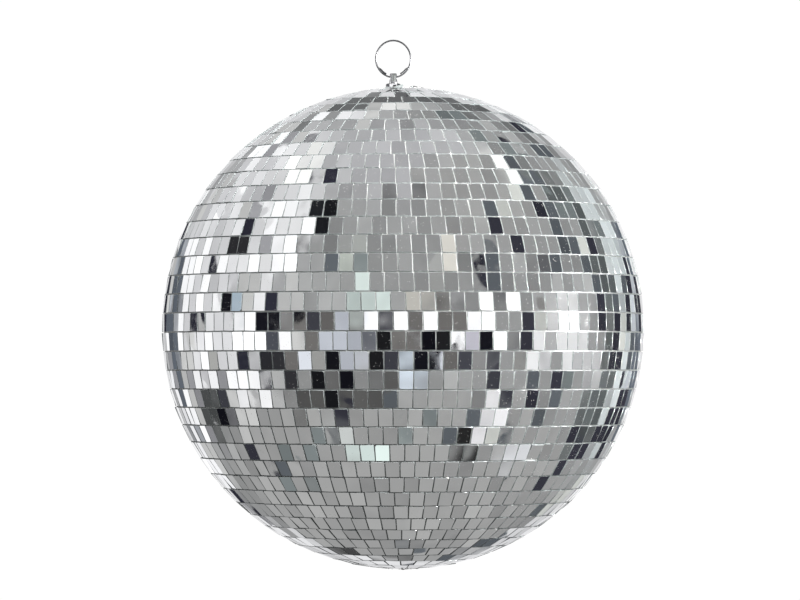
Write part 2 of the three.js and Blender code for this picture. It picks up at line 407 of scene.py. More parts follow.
def add_lump(skin, place, out, size, draws):
    """A small rounded bead of glue that lies along the surface."""
    ball = bmesh.new()
    bmesh.ops.create_icosphere(ball, subdivisions=2, radius=1.0)
    side = out.orthogonal().normalized()
    along = Matrix.Rotation(draws.uniform(0.0, math.tau), 3, out) @ side
    across = out.cross(along)
    stretch = draws.uniform(*LUMP_STRETCH)
    shift = Vector([draws.uniform(-50.0, 50.0) for _ in range(3)])
    points = []
    for vertex in ball.verts:
        at = vertex.co
        reach = size * (1.0 + LUMP_UNEVEN * noise.noise(at * 1.3 + shift))
        way = along * at.x * stretch + across * at.y + out * at.z * LUMP_HEIGHT
        points.append(place + way * reach)
    index = skin.add_points(points)
    for face in ball.faces:
        skin.add_face([index[v.index] for v in face.verts], smooth=True)
    ball.free()


# ---- Shader helpers ------------------------------------------------------------------------------


def fill(tree, made, inputs):
    """Links or sets the inputs of a node."""
    for key, value in inputs.items():
        if isinstance(value, bpy.types.NodeSocket):
            tree.links.new(value, made.inputs[key])
        else:
            made.inputs[key].default_value = value
    return made


def node(tree, kind, inputs=None, **settings):
    made = tree.nodes.new("ShaderNode" + kind)
    for key, value in settings.items():
        setattr(made, key, value)
    return fill(tree, made, inputs or {})


def place_group(tree, group, **inputs):
    """Places a shared group. Its inputs are given by name, with _ for a space."""
    named = {key.replace("_", " "): value for key, value in inputs.items()}
    return node(tree, "Group", named, node_tree=group).outputs


def calc(tree, operation, *values):
    return node(tree, "Math", dict(enumerate(values)), operation=operation).outputs[0]


def mix(tree, factor, first, second, blend="MIX"):
    inputs = {0: factor, 6: first, 7: second}
    return node(tree, "Mix", inputs, data_type="RGBA", blend_type=blend).outputs[2]


def remap(tree, value, low, high, to_low, to_high, smooth=False):
    inputs = {0: value, 1: low, 2: high, 3: to_low, 4: to_high}
    style = "SMOOTHSTEP" if smooth else "LINEAR"
    return node(tree, "MapRange", inputs, interpolation_type=style).outputs[0]


def cloud(tree, where, scale, detail, roughness=0.5):
    """Soft noise."""
    inputs = {"Vector": where, "Scale": scale, "Detail": detail, "Roughness": roughness}
    return node(tree, "TexNoise", inputs).outputs[0]


def own_place(tree):
    return node(tree, "TexCoord").outputs["Object"]


def bump(tree, height, strength, distance):
    inputs = {"Height": height, "Strength": strength, "Distance": distance}
    return node(tree, "Bump", inputs).outputs[0]


def rgba(values, scale=1.0):
    return (values[0] * scale, values[1] * scale, values[2] * scale, 1.0)


def shared(name, inputs, outputs):
    """Makes a shader node group the first time it is asked for. The function under this returns
    a socket for each output."""

    def wrap(builder):
        def get():
            if name in bpy.data.node_groups:
                return bpy.data.node_groups[name]
            group = bpy.data.node_groups.new(name, "ShaderNodeTree")
            new_socket = group.interface.new_socket
            for label, default in inputs.items():
                socket = new_socket(label, in_out="INPUT", socket_type="NodeSocketFloat")
                socket.default_value = default
            for label in outputs:
                new_socket(label, in_out="OUTPUT", socket_type="NodeSocketFloat")
            results = builder(group, group.nodes.new("NodeGroupInput").outputs)
            fill(group, group.nodes.new("NodeGroupOutput"), dict(zip(outputs, results)))
            return group

        return get

    return wrap


@shared("Dust Specks", {"Scale": 900.0, "Amount": 0.3}, ("Mask",))
def dust_group(group, given):
    """Specks of different sizes, thicker in some places than in others."""
    where = own_place(group)
    cells = node(group, "TexVoronoi", {"Vector": where, "Scale": given["Scale"]}).outputs
    chance = node(group, "SeparateColor", {0: cells["Color"]}).outputs[0]
    wanted = calc(group, "MULTIPLY", cloud(group, where, 60.0, 2.0), given["Amount"])
    size = calc(group, "SUBTRACT", wanted, chance)
    reach = calc(group, "MULTIPLY", size, 1.4)
    near = calc(group, "SUBTRACT", reach, cells["Distance"])
    return [remap(group, near, 0.0, 0.12, 0.0, 1.0, smooth=True)]


@shared("Surface Grain", {"Scale": 700.0, "Patch Scale": 50.0}, ("Tone", "Height"))
def grain_group(group, given):
    """Fine uneven surface: a tone for colour and roughness, and a height for bump."""
    where = own_place(group)
    fine = cloud(group, where, given["Scale"], 4.0)
    broad = cloud(group, where, given["Patch Scale"], 3.0)
    fine_part = calc(group, "MULTIPLY", fine, 0.35)
    broad_part = calc(group, "MULTIPLY", broad, 0.65)
    return [calc(group, "ADD", fine_part, broad_part), fine]


@shared("Hair Scratches", {"Scale": 500.0, "Amount": 0.4}, ("Mask",))
def scratch_group(group, given):
    """Short hair-like scratches that run in two directions."""
    where = own_place(group)
    thin = []
    for lean, stretch in ((0.4, 9.0), (-0.9, 12.0)):
        inputs = {
            "Vector": where,
            "Rotation": (lean, lean * 0.7, lean * 1.9),
            "Scale": (1, 1, stretch),
        }
        drawn_out = node(group, "Mapping", inputs).outputs[0]
        lines = cloud(group, drawn_out, given["Scale"], 1.0)
        thin.append(remap(group, lines, 0.62, 0.68, 0.0, 1.0, smooth=True))
    return [calc(group, "MULTIPLY", calc(group, "MAXIMUM", *thin), given["Amount"])]


# ---- Finishes ------------------------------------------------------------------------------------


def new_material(name):
    """A material with a Principled shader and nothing else yet."""
    material = bpy.data.materials.new(name)
    material.use_nodes = True
    return material, material.node_tree, material.node_tree.nodes["Principled BSDF"]


def once(maker):
    """Keeps a finish's material, so that like pieces share it."""
    kept = {}

    def get():
        if "made" not in kept:
            kept["made"] = maker(bpy.context.scene.finish_colours)
        return kept["made"]

    return get


@once
def mirror_finish(colours):
    """Silvered glass: nearly flat, with faint smears, specks of dust and a tone for each tile."""
    material, tree, shader = new_material("Mirror Glass")
    where = own_place(tree)
    specks = place_group(tree, dust_group(), Scale=1500.0, Amount=0.42)["Mask"]
    tone = node(tree, "Attribute", attribute_name=TONE).outputs["Fac"]
    silver = mix(tree, tone, rgba(colours.silver, 0.80), rgba(colours.silver))
    clean = remap(tree, cloud(tree, where, 240.0, 4.0), 0.35, 0.75, 0.012, 0.042)
    dusty = calc(tree, "MULTIPLY", specks, 0.5)
    uncovered = calc(tree, "MULTIPLY", specks, 0.8)
    fill(tree, shader, {
        "Base Color": mix(tree, specks, silver, rgba(colours.dust)),
        "Metallic": calc(tree, "SUBTRACT", 1.0, uncovered),
        "Roughness": calc(tree, "ADD", clean, dusty),
        "Normal": bump(tree, cloud(tree, where, 75.0, 0.0), 1.0, 0.06 * MM),
        "Specular Tint": rgba((0.88, 0.88, 0.89)),
    })
    return material


def grained_finish(name, base, shade, scales, gloss, relief=None):
    """A finish whose tone and roughness, and its relief if it has one, follow a fine grain."""
    material, tree, shader = new_material(name)
    fine, broad = scales
    grain = place_group(tree, grain_group(), Scale=fine, Patch_Scale=broad)
    tone = grain["Tone"]
    fill(tree, shader, {
        "Base Color": mix(tree, tone, rgba(base, shade), rgba(base)),
        "Roughness": remap(tree, tone, *gloss),
    })
    if relief:
        strength, depth = relief
        fill(tree, shader, {"Normal": bump(tree, grain["Height"], strength, depth * MM)})
    return material, tree, shader


@once
def edge_finish(colours):
    """Cut glass: pale, with shiny and frosted stretches and small chatter marks."""
    material, tree, shader = grained_finish(
        "Cut Glass Edge", colours.cut_glass, 0.72, (2600.0, 320.0), (0.38, 0.66, 0.05, 0.4),
        (0.4, 0.04),
    )
    fill(tree, shader, {"IOR": 1.52, "Metallic": 0.4})
    return material


@once
def backing_finish(colours):
    """Grey paint behind the silvering."""
    gloss = (0.3, 0.7, 0.5, 0.75)
    return grained_finish("Mirror Backing Paint", colours.backing, 0.8, (900.0, 90.0), gloss)[0]


@once
def plastic_finish(colours):
    """Moulded white plastic with a fine grain."""
    return grained_finish(
        "White Moulded Plastic", colours.plastic, 0.9, (1400.0, 30.0), (0.3, 0.7, 0.45, 0.62),
        (0.3, 0.05),
    )[0]


@once
def glue_finish(colours):
    """White glue, lumpy and a little shiny, with dust in it."""
    material, tree, shader = grained_finish(
        "White Glue", colours.glue, 0.8, (900.0, 160.0), (0.3, 0.7, 0.28, 0.5), (0.5, 0.15)
    )
    specks = place_group(tree, dust_group(), Scale=1300.0, Amount=0.35)["Mask"]
    clean = shader.inputs["Base Color"].links[0].from_socket
    fill(tree, shader, {"Base Color": mix(tree, specks, clean, rgba(colours.dust, 0.7))})
    return material


def metal_finish(name, base, roughness, scratches, grain_scale, rim):
    """Metal with tone patches, hair scratches and a fine grain."""
    material, tree, shader = new_material(name)
    grain = place_group(tree, grain_group(), Scale=grain_scale, Patch_Scale=140.0)
    mask = place_group(tree, scratch_group(), Scale=700.0, Amount=scratches)["Mask"]
    tone = grain["Tone"]
    worn = mix(tree, tone, rgba(base, 0.74), rgba(base, 1.08))
    plain = remap(tree, tone, 0.3, 0.7, *roughness)
    relief = calc(tree, "SUBTRACT", grain["Height"], mask)
    fill(tree, shader, {
        "Base Color": mix(tree, mask, worn, rgba(base, 1.25)),
        "Roughness": calc(tree, "ADD", plain, calc(tree, "MULTIPLY", mask, 0.15)),
        "Metallic": 1.0,
        "Specular Tint": rgba((rim, rim, rim)),
        "Normal": bump(tree, relief, 0.35, 0.02 * MM),
    })
    return material


@once
def plated_finish(colours):
    return metal_finish("Nickel Plated Steel", colours.plating, (0.05, 0.14), 0.4, 1800.0, 0.3)


@once
def wire_finish(colours):
    return metal_finish("Drawn Steel Wire", colours.wire, (0.34, 0.5), 0.6, 2400.0, 0.25)


@once
def zinc_finish(colours):
    return metal_finish("Zinc Plated Steel", colours.zinc, (0.3, 0.5), 0.3, 900.0, 0.6)


def tile_finishes():
    """Face, edges and back of a piece of mirror."""
    return [mirror_finish(), edge_finish(), backing_finish()]


# ---- Shells and glue -----------------------------------------------------------------------------

SEGMENTS = 192  # round the shells and the glue
DOME_STEPS = 48  # from a pole to the equator
BOSS_RIM = 0.5 * MM  # boss beyond the washer
PAD_RIM = 2.0 * MM  # pad beyond the load plate
BOSS_SLOPE, PAD_SLOPE = 0.3 * MM, 0.4 * MM  # how far their sides lean out
HOLE_PLAY = 0.25 * MM  # round the post
PEG = 1.5 * MM  # radius of the peg that holds the bottom mirror
PEG_FOOT = 1.2 * PEG
PEG_SIDE = math.radians(-89.3)  # where the lower shell starts beside its peg
GLUE_HOLE = 0.5 * MM  # glue starts this far from the boss
GLUE_GAP = 0.02 * MM  # from the shell to the glue
GLUE_POLE = math.radians(89.0)  # the glue leaves a small hole round the peg
GLUE_LUMPS = 0.12 * MM
LUMP_SCALES = (240.0, 60.0)


def round_post(ball, reach):
    """Directions from the centre to a circle of that radius about the post."""
    turns = [math.tau * i / SEGMENTS for i in range(SEGMENTS)]
    return [ball.lifted(ball.beside_post(reach, turn)).normalized() for turn in turns]


def dome_rings(ball, radius, start, steps, last=0.0, lumps=0.0):
    """Rings from the start directions down to a latitude, on a sphere that may be lumpy."""
    end = [ball.out(math.tau * i / SEGMENTS + math.pi / 2, last) for i in range(SEGMENTS)]
    rings = []
    for step in range(steps + 1):
        ring = []
        for first, final in zip(start, end):
            way = first.slerp(final, step / steps)
            lump = sum(noise.noise(way * scale) for scale in LUMP_SCALES) if lumps else 0.0
            ring.append(ball.centre + way * (radius + lumps * lump))
        rings.append(ring)
    return rings


class MIRRORBALL_OT_shells(bpy.types.Operator):
    """Make the two moulded half shells and the bed of glue over them"""

    bl_idname = "mirrorball.shells"
    bl_label = "Shells and Glue"

    def execute(self, context):
        sizes = context.scene.fixing_sizes
        ball = Ball(context.scene.mirror_sizes.glass)
        outer = half_width("upper_shell")
        land = half_width("joining_hoop")
        hoop_low, hoop_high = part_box("joining_hoop")
        land_height = (hoop_high.z - hoop_low.z) / 2 + sizes.rim_land
        inner = math.hypot(land, land_height)
        latitude = math.asin(land_height / inner)
        boss = half_width("top_washer") + BOSS_RIM
        self.make_upper(ball, boss, outer, land, inner, latitude)
        self.make_lower(ball, outer, land, inner, latitude)
        self.make_glue(ball, boss, outer, ball.radius - sizes.glue_depth)
        return {"FINISHED"}

    def make_upper(self, ball, boss, outer, land, inner, latitude):
        """Half shell with the boss under the washer and the pad over the load plate."""
        top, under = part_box("top_washer")[0].z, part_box("load_plate")[1].z
        post = axis_of("top_washer")
        hole = half_width("eye_post") + HOLE_PLAY
        pad = half_width("load_plate") + PAD_RIM
        near = round_post(ball, boss + BOSS_SLOPE)
        far = round_post(ball, pad + PAD_SLOPE)
        rings = [
            *turned([(hole, top), (boss, top)], SEGMENTS, post),
            *dome_rings(ball, outer, near, DOME_STEPS),
            circle(land, ball.centre.z, SEGMENTS, ball.centre),
            *dome_rings(ball, inner, far, DOME_STEPS, last=latitude)[::-1],
            *turned([(pad, under), (hole, under)], SEGMENTS, post),
        ]
        rings = [ring[::-1] for ring in rings]
        upper = skinned("upper_half_shell", rings, plastic_finish(), closed=True)
        soften(upper)
        fix(upper, BALL_BODY, PLASTIC_SLOT, "upper_shell")

    def make_lower(self, ball, outer, land, inner, latitude):
        """Half shell with the peg for the bottom mirror."""
        middle = ball.centre.z

        def arc(radius, first, last):
            steps = [first + (last - first) * i / DOME_STEPS for i in range(DOME_STEPS + 1)]
            return [(radius * math.cos(at), middle + radius * math.sin(at)) for at in steps]

        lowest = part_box("lower_shell")[0].z
        foot = middle - math.sqrt(outer**2 - PEG_FOOT**2)
        profile = [(0.0, lowest)]
        for degrees in (25, 50, 75, 90):
            rise = math.radians(degrees)
            profile.append((PEG * math.sin(rise), lowest + PEG / 2 * (1 - math.cos(rise))))
        profile += [(PEG, foot - 0.2 * MM), (PEG_FOOT, foot)]
        profile += arc(outer, PEG_SIDE, 0.0)[1:]
        profile.append((land, middle))
        profile += arc(inner, -latitude, -math.pi / 2)[:-1]
        profile.append((0.0, middle - inner))
        rings = turned(profile, SEGMENTS, ball.centre)
        lower = skinned("lower_half_shell", rings, plastic_finish())
        soften(lower)
        fix(lower, BALL_BODY, PLASTIC_SLOT, "lower_shell")

    def make_glue(self, ball, boss, shell, top):
        """Glue over each half shell, squeezed up between the mirrors."""
        mirrored = Matrix.Scale(-1.0, 3, UP)
        for name in ("glue_bed_upper", "glue_bed_lower"):
            if name == "glue_bed_upper":
                start = round_post(ball, boss + GLUE_HOLE)
            else:
                turns = [math.tau * i / SEGMENTS for i in range(SEGMENTS)]
                start = [ball.out(turn + math.pi / 2, GLUE_POLE) for turn in turns]
            face = dome_rings(ball, top, start, DOME_STEPS * 2, lumps=GLUE_LUMPS)
            back = dome_rings(ball, shell + GLUE_GAP, start, DOME_STEPS * 2)
            rings = face + back[::-1]
            if name == "glue_bed_upper":
                rings = [ring[::-1] for ring in rings]
            else:
                rings = [
                    [ball.centre + mirrored @ (point - ball.centre) for point in ring]
                    for ring in rings
                ]
            bed = skinned(name, rings, glue_finish(), closed=True, smooth=True)
            fix(bed, BALL_BODY, PLASTIC_SLOT)


class MIRRORBALL_OT_glue_beads(bpy.types.Operator):
    """Put small beads of squeezed-out glue in the joints and round the post"""

    bl_idname = "mirrorball.glue_beads"
    bl_label = "Glue Beads"

    # Beads tried at each end, their distance from the rim and their size, in millimetres.
    POST_BEADS, POST_REACH, POST_SIZE = 170, (0.3, 12.0), (0.4, 1.3)
    BOTTOM_BEADS, BOTTOM_REACH, BOTTOM_SIZE = 46, (-0.1, 0.9), (0.3, 0.6)

    def execute(self, context):
        sizes, mirrors = context.scene.fixing_sizes, context.scene.mirror_sizes
        ball = Ball(mirrors.glass)
        draws = random.Random(mirrors.seed + 2)
        for name, beads, depth in (
            ("glue_beads_in_joints", self.in_joints(ball, sizes, mirrors, draws), 0.3 * MM),
            ("glue_round_post", self.round_post(ball, draws), 0.1 * MM),
            ("glue_round_bottom_mirror", self.round_bottom(ball, draws), 0.1 * MM),
        ):
            skin = Skin()
            for out, size in beads:
                add_lump(skin, ball.centre + out * (ball.radius - depth), out, size, draws)
            fix(skin.build(name, [glue_finish()]), BALL_BODY, PLASTIC_SLOT)
        return {"FINISHED"}

    def in_joints(self, ball, sizes, mirrors, draws):
        for _ in range(sizes.bead_count):
            row = draws.choice(ball.rows)
            latitude = row["bottom"] - mirrors.joint / 2 / ball.radius
            if draws.random() > math.cos(latitude):
                continue
            out = ball.out(draws.uniform(0.0, math.tau), latitude)
            yield out, sizes.bead * draws.uniform(0.5, 1.0)

    def round_post(self, ball, draws):
        nearest = half_width("top_washer")
        for _ in range(self.POST_BEADS):
            turn = draws.uniform(0.0, math.tau)
            flat = ball.beside_post(nearest + draws.uniform(*self.POST_REACH) * MM, turn)
            if flat.length > half_width("closing_mirrors_top"):
                continue
            yield ball.lifted(flat).normalized(), draws.uniform(*self.POST_SIZE) * MM

    def round_bottom(self, ball, draws):
        rim = half_width("centre_mirror_bottom")
        for _ in range(self.BOTTOM_BEADS):
            turn = draws.uniform(0.0, math.tau)
            reach = rim + draws.uniform(*self.BOTTOM_REACH) * MM
            latitude = -math.acos(reach / ball.radius)
            yield ball.out(turn, latitude), draws.uniform(*self.BOTTOM_SIZE) * MM


# ---- Mirrors -------------------------------------------------------------------------------------

LEAN_REACH = math.radians(40.0)  # joints turn from the ball's axis to the post's within this
LEAN_LIMIT = 0.2
LOOSE_SHARE = 0.06  # share of mirrors that sit badly
LOOSE = 2.6  # how much worse they sit
SINK, PROUD = -1.6, 0.2  # depth of a mirror in its glue, in shifts

SHARD_TURN = (0.38, 0.6)  # width of a hand-cut piece, in radians about the post
LAST_SHARD = 0.2  # a gap narrower than this stays open
SHARD_LENGTH = 9.0 * MM  # longer ones are cut in two
SHARD_CUT = (0.42, 0.58)  # where they are cut, as a share of the length
SHARD_RAGGED = (0.05, 0.3)  # how far a corner strays, in radians and millimetres
SHARD_JOINT = 0.35 * MM
INNER_STEEP, OUTER_STEEP = (0.05, 0.55), (-0.15, 0.25)
SHARD_WOBBLE = 0.13
SHARD_CHIPPED = 0.6
SHARD_LIFT = (-0.2, 0.8)  # mm

SLIVERS = 70
SLIVER_WIDTH, SLIVER_HEIGHT = (0.8, 1.7), (0.5, 0.9)  # half sizes, mm
SLIVER_SHAPE = ((-1.0, -1.0), (1.0, -0.6), (0.8, 1.0), (-0.7, 0.8))
SLIVER_LEAN = (0.7, 2.2)
SLIVER_LIFT = (-0.3, 0.4)  # mm


class MIRRORBALL_OT_mirror_rows(bpy.types.Operator):
    """Lay every row of small mirrors, each mirror its own flat plate"""

    bl_idname = "mirrorball.mirror_rows"
    bl_label = "Mirror Rows"

    def execute(self, context):
        sizes = context.scene.mirror_sizes
        ball = Ball(sizes.glass)
        draws = random.Random(sizes.seed)
        for row in ball.rows:
            skin = Skin()
            self.lay_row(skin, ball, row, sizes, draws)
            name = row["node"].replace("mirror_row", "mirrors_row")
            fix(skin.build(name, tile_finishes()), BALL_BODY, MIRROR_SLOT, row["node"])
        return {"FINISHED"}

    def lay_row(self, skin, ball, row, sizes, draws):
        top, bottom = row["top"], row["bottom"]
        middle = (top + bottom) / 2
        around = math.tau * ball.radius * math.cos(middle)
        count = round(around / (sizes.width + sizes.joint))
        step = math.tau / count
        start = math.pi + draws.uniform(-0.5, 0.5) * step
        pole = ball.post_pole()
        pole.x *= min(1.0, max(0.0, 0.5 + middle / LEAN_REACH))
        for number in range(count):
            azimuth = start + number * step
            out = ball.out(azimuth, middle)
            east = Vector((math.cos(azimuth), math.sin(azimuth), 0.0))
            north = out.cross(east)
            lean = self.lean(pole, out, east, north)
            outline = self.outline(ball, top, bottom, step, lean, sizes, draws)
            if draws.random() < sizes.chipped:
                outline = chipped(outline, draws)
            loose = LOOSE if draws.random() < LOOSE_SHARE else 1.0
            spreads = (sizes.tilt, sizes.tilt, sizes.turn)
            turn = Euler([draws.gauss(0.0, spread) * loose for spread in spreads]).to_matrix()
            basis = Matrix((east, north, out)).transposed() @ turn
            lift = draws.uniform(SINK, PROUD) * sizes.shift
            place = ball.centre + out * (ball.radius + lift)
            add_plate(skin, outline, place, basis, sizes.glass, sizes.edge, draws.random())

    def lean(self, pole, out, east, north):
        """Slope of a mirror's sides, so that the joints run towards the pole."""
        aim = pole - out * pole.dot(out)
        angle = math.atan2(aim.dot(east), aim.dot(north))
        return math.tan(max(-LEAN_LIMIT, min(LEAN_LIMIT, angle)))

    def outline(self, ball, top, bottom, step, lean, sizes, draws):
        """One mirror's corners, a little off a true rectangle."""
        half_height = ball.radius * math.sin((top - bottom) / 2)
        corners = []
        for side, edge in ((-1, bottom), (1, bottom), (1, top), (-1, top)):
            flat = step / 2 * ball.radius * math.cos(edge) - sizes.joint / 2
            rise = half_height if edge == top else -half_height
            across = side * flat + lean * rise + draws.uniform(-0.5, 0.5) * sizes.shift
            corners.append(Vector((across, rise + draws.uniform(-0.8, 0.8) * sizes.shift)))
        return corners


class MIRRORBALL_OT_closing_mirrors(bpy.types.Operator):
    """Close the top opening with hand-cut mirror pieces and the bottom one with a round mirror"""

    bl_idname = "mirrorball.closing_mirrors"
    bl_label = "Closing Mirrors"

    def execute(self, context):
        sizes = context.scene.mirror_sizes
        ball = Ball(sizes.glass)
        self.make_top(ball, sizes, random.Random(sizes.seed + 1))
        self.make_bottom(ball, sizes)
        return {"FINISHED"}

    def make_top(self, ball, sizes, draws):
        skin = Skin()
        opening = half_width("closing_mirrors_top")
        nearest = half_width("top_washer") + 0.5 * MM
        turn = draws.uniform(0.0, 0.4)
        while turn < math.tau - LAST_SHARD:
            next_turn = min(math.tau, turn + draws.uniform(*SHARD_TURN))
            limits = [nearest + draws.uniform(0.0, 0.6) * MM]
            length = self.reach(ball, (turn + next_turn) / 2, opening) - limits[0]
            if length > SHARD_LENGTH:
                limits.append(limits[0] + length * draws.uniform(*SHARD_CUT))
            limits.append(None)
            for ends in zip(limits, limits[1:]):
                self.add_shard(skin, ball, sizes, draws, (turn, next_turn), ends, opening)
            turn = next_turn
        for _ in range(SLIVERS):
            self.add_sliver(skin, ball, sizes, draws, nearest, opening)
        piece = skin.build("hand_cut_mirrors", tile_finishes())
        fix(piece, BALL_BODY, MIRROR_SLOT, "closing_mirrors_top")

    def add_sliver(self, skin, ball, sizes, draws, nearest, opening):
        """A narrow offcut pressed into the glue at any angle."""
        turn = draws.uniform(0.0, math.tau)
        flat = ball.beside_post(draws.uniform(nearest + 1.0 * MM, opening + 2.0 * MM), turn)
        if flat.length > opening - 1.5 * MM:
            return
        wide = draws.uniform(*SLIVER_WIDTH) * MM
        tall = draws.uniform(*SLIVER_HEIGHT) * MM
        outline = [Vector((across * wide, up * tall)) for across, up in SLIVER_SHAPE]
        place = ball.lifted(flat)
        lean = draws.uniform(*SLIVER_LEAN)
        toward = draws.uniform(0.0, math.tau)
        aside = Vector((math.cos(toward), math.sin(toward), 0.0))
        out = (place.normalized() + aside * lean).normalized()
        east = out.cross(UP).normalized()
        basis = Matrix((east, out.cross(east), out)).transposed()
        place.z += draws.uniform(*SLIVER_LIFT) * MM
        thin = sizes.glass * 0.7
        add_plate(skin, outline, ball.centre + place, basis, thin, sizes.edge, draws.random())

    def reach(self, ball, turn, opening):
        """From the post's axis out to the rim of the opening, in that direction."""
        way = Vector((math.cos(turn), math.sin(turn)))
        start = ball.post_pole().xy
        along = start.dot(way)
        return -along + math.sqrt(along**2 + opening**2 - start.length_squared)

    def add_shard(self, skin, ball, sizes, draws, turns, ends, opening):
        """A hand-cut piece between two directions and two distances from the post. A distance of
        None is the rim of the opening."""
        stray_turn, stray = SHARD_RAGGED
        corners = []
        for side, end in ((0, 0), (0, 1), (1, 1), (1, 0)):
            turn = turns[side] + draws.uniform(-stray_turn, stray_turn)
            limit = self.reach(ball, turn, opening) if ends[end] is None else ends[end]
            corners.append(ball.beside_post(limit + draws.uniform(-stray, stray) * MM, turn))
        middle = sum(corners, Vector((0.0, 0.0))) / 4
        place = ball.lifted(middle)
        away = (middle - ball.post_pole().xy).normalized().to_3d()
        steep = draws.uniform(*(OUTER_STEEP if ends[1] is None else INNER_STEEP))
        out = (place.normalized() + away * steep).normalized()
        wobble = [draws.gauss(0, SHARD_WOBBLE) for _ in range(2)]
        out = (out + Vector((*wobble, 0.0))).normalized()
        east = Vector((1.0, 0.0, 0.0))
        east = (east - out * out.x).normalized()
        basis = Matrix((east, out.cross(east), out)).transposed()
        outline = inset([corner - middle for corner in corners], SHARD_JOINT)
        if draws.random() < SHARD_CHIPPED:
            outline = chipped(outline, draws)
        place.z += draws.uniform(*SHARD_LIFT) * MM
        tone = draws.random()
        add_plate(skin, outline, ball.centre + place, basis, sizes.glass, sizes.edge, tone)

    def make_bottom(self, ball, sizes):
        """A flat round mirror with a rounded rim and a hole for the peg."""
        radius = half_width("centre_mirror_bottom")
        hole, edge = 1.9 * MM, sizes.edge * 1.5
        soft = edge * 0.3
        face = ball.centre.z - math.sqrt(ball.radius**2 - (radius * 0.7) ** 2)
        back = face + sizes.glass
        profile = (
            (hole, back), (hole, face + edge), (hole + soft, face + soft), (hole + edge, face),
            (radius - edge, face), (radius - soft, face + soft), (radius, face + edge),
            (radius, back),
        )
        skin = Skin()
        rings = [skin.add_points(ring) for ring in turned(profile, 96, ball.centre)]
        for i, material in enumerate((1, 1, 1, 0, 1, 1, 1, 2)):
            upper = rings[(i + 1) % len(rings)]
            skin.add_band(rings[i], upper, material=material, smooth=material > 0)
        piece = skin.build("round_bottom_mirror", tile_finishes())
        piece.data.set_sharp_from_angle(angle=math.radians(50.0))
        fix(piece, BALL_BODY, MIRROR_SLOT, "centre_mirror_bottom")


# ---- Post, nut and washer ------------------------------------------------------------------------

POST_SIDES = 48
THREAD_STEPS = 8  # rings along each turn of the thread
TAIL, TAPER = 0.82, 0.12  # the tail's radius and the first turn's taper, as shares of the crest
TIP_RADIUS, TIP_SOFT = 2.1 * MM, 0.3 * MM
COLLAR = 0.25 * MM  # plain stretch above the nut
EYE_PLAY = 0.75 * MM  # round the wire
EYE_DROP = 0.45 * MM  # from the hinge line down to the middle of the eye
EYE_SIDES = 32
NUT_SIDES, WASHER_SIDES = 96, 72


class MIRRORBALL_OT_eye_post(bpy.types.Operator):
    """Make the threaded post with its cross hole for the ring"""

    bl_idname = "mirrorball.eye_post"
    bl_label = "Eye Post"

    def execute(self, context):
        sizes = context.scene.fixing_sizes
        low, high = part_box("eye_post")
        axis = axis_of("eye_post")
        head = half_width("eye_post")
        nut_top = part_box("top_nut")[1].z
        shoulder = nut_top + COLLAR
        profile = [(head, shoulder)]
        for part in (0.25, 0.5, 0.75, 1.0):
            height = shoulder + (high.z - TIP_SOFT - shoulder) * part
            profile.append((head + (TIP_RADIUS - head) * part, height))
        for degrees in (30, 60, 90):
            rise = math.radians(degrees)
            radius = TIP_RADIUS - TIP_SOFT * (1 - math.cos(rise))
            profile.append((radius, high.z - TIP_SOFT * (1 - math.sin(rise))))
        profile.append((0.0, high.z))
        thread = self.thread_rings(axis, low.z, nut_top, head - 0.05 * MM, sizes)
        rings = thread + turned(profile, POST_SIDES, axis)
        post = skinned("eye_post_threaded", rings, plated_finish())
        self.drill(post, axis, head, sizes)
        soften(post, 35.0)
        fix(post, BALL_BODY, PLATED_SLOT, "eye_post")
        return {"FINISHED"}

    def thread_rings(self, axis, tail, top, crest, sizes):
        """The thread from its tapered tail up to the nut's top."""
        rings = turned([(0.0, tail), (crest * TAIL, tail)], POST_SIDES, axis)
        rows = round((top - tail) / sizes.thread_pitch * THREAD_STEPS)
        for row in range(1, rows + 1):
            height = tail + (top - tail) * row / rows
            fade = min(1.0, row / THREAD_STEPS, (rows - row) / THREAD_STEPS)
            taper = TAPER * crest * max(0.0, 1.0 - row / THREAD_STEPS)
            ring = []
            for i in range(POST_SIDES):
                turn = i / POST_SIDES
                phase = ((height - tail) / sizes.thread_pitch - turn) % 1.0
                groove = 1.0 - abs(2.0 * phase - 1.0)
                radius = crest - sizes.thread_depth * groove * fade - taper
                ring.append(spot(axis, radius, math.tau * turn, height))
            rings.append(ring)
        return rings

    def drill(self, post, axis, head, sizes):
        """Cuts the eye, with both mouths eased, along X through the post."""
        hinge = frame["joints"][0]["pos_m"][2]
        bore = sizes.wire + EYE_PLAY
        half = [
            (0.0, head * 1.6),
            (bore + 0.6 * MM, head * 1.6),
            (bore + 0.12 * MM, head * 0.95),
            (bore, head * 0.75),
        ]
        profile = [(radius, -along) for radius, along in half] + half[::-1]
        upright = turned(profile, EYE_SIDES, Vector())
        centre = Vector((axis.x, axis.y, hinge - EYE_DROP))
        rings = [[centre + Vector((p.z, p.x, p.y)) for p in ring] for ring in upright]
        cut(post, skinned("eye_cutter", rings, plated_finish()))


